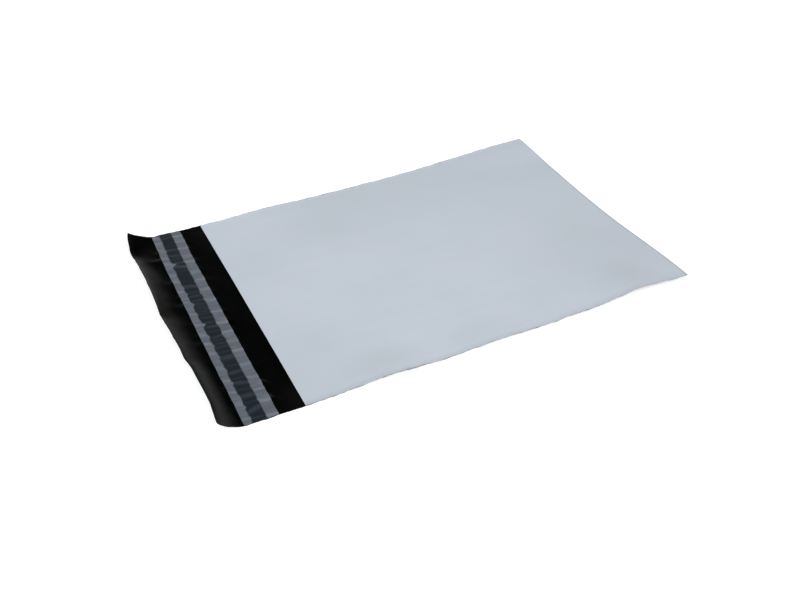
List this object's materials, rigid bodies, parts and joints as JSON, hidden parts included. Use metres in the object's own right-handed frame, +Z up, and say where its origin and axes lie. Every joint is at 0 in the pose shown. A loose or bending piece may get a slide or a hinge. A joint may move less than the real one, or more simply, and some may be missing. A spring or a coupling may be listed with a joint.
{
  "type": "poly mailer bag",
  "caption": "Flat, empty courier bag of pale grey film, black inside, welded along both sides, with a curling closing lip that carries a self-seal adhesive strip under a release liner.",
  "frame": {"origin": "on the table under the middle of the panel, halfway between the mouth edge and the bottom fold", "axes": "+X from the lip towards the bottom fold, +Y across the bag, +Z up out of the front panel"},
  "size_m": [0.274, 0.1778, 0.008],
  "materials": {
    "film": "satin polyethylene film, pale grey outside and black inside",
    "adhesive": "clear hot-melt adhesive that looks wet and dark over the black film",
    "liner": "thin silicone-coated film, smoky and slightly glossy"
  },
  "bodies": {
    "root": {"mailer_film": "film", "adhesive_strip": "adhesive", "release_liner": "liner"}
  },
  "joints": []
}
